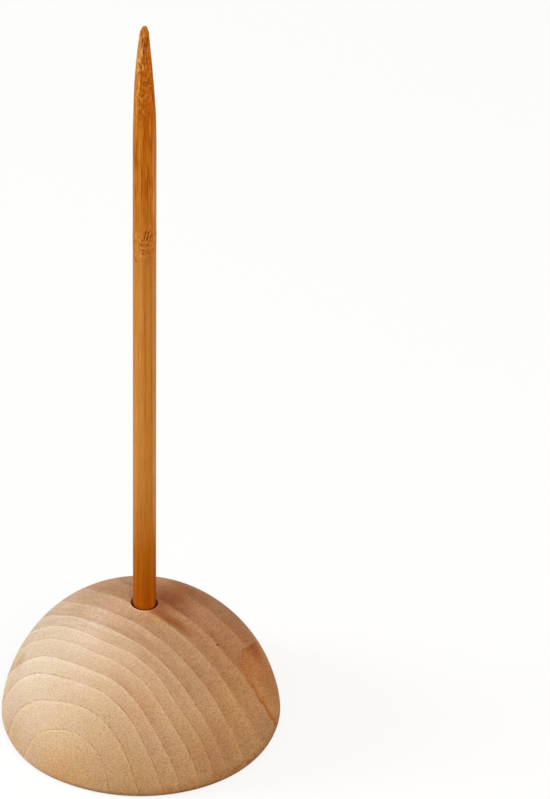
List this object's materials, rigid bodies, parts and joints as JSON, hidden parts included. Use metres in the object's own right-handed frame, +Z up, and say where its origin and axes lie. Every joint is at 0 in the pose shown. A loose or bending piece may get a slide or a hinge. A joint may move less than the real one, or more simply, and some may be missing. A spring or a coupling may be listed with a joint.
{
  "type": "bill spike",
  "caption": "Desk spike for bills and receipts: a sharpened bamboo stick standing upright in a blind socket at the top of a turned wooden half-ball base.",
  "frame": {"origin": "centre of the flat underside of the base, on the table", "axes": "+Z up along the spike, +X to the right and +Y away from the viewer, seen from the front"},
  "size_m": [0.0698, 0.0698, 0.206],
  "materials": {
    "base_wood": "sanded, bare",
    "spike_bamboo": "sanded, light sheen"
  },
  "bodies": {
    "base": {"base": "base_wood"},
    "spike": {"spike": "spike_bamboo"}
  },
  "joints": [
    {"name": "spike_lift", "type": "slide", "parent": "base", "child": "spike", "axis": [0, 0, 1], "range_m": [0, 0.035]}
  ]
}
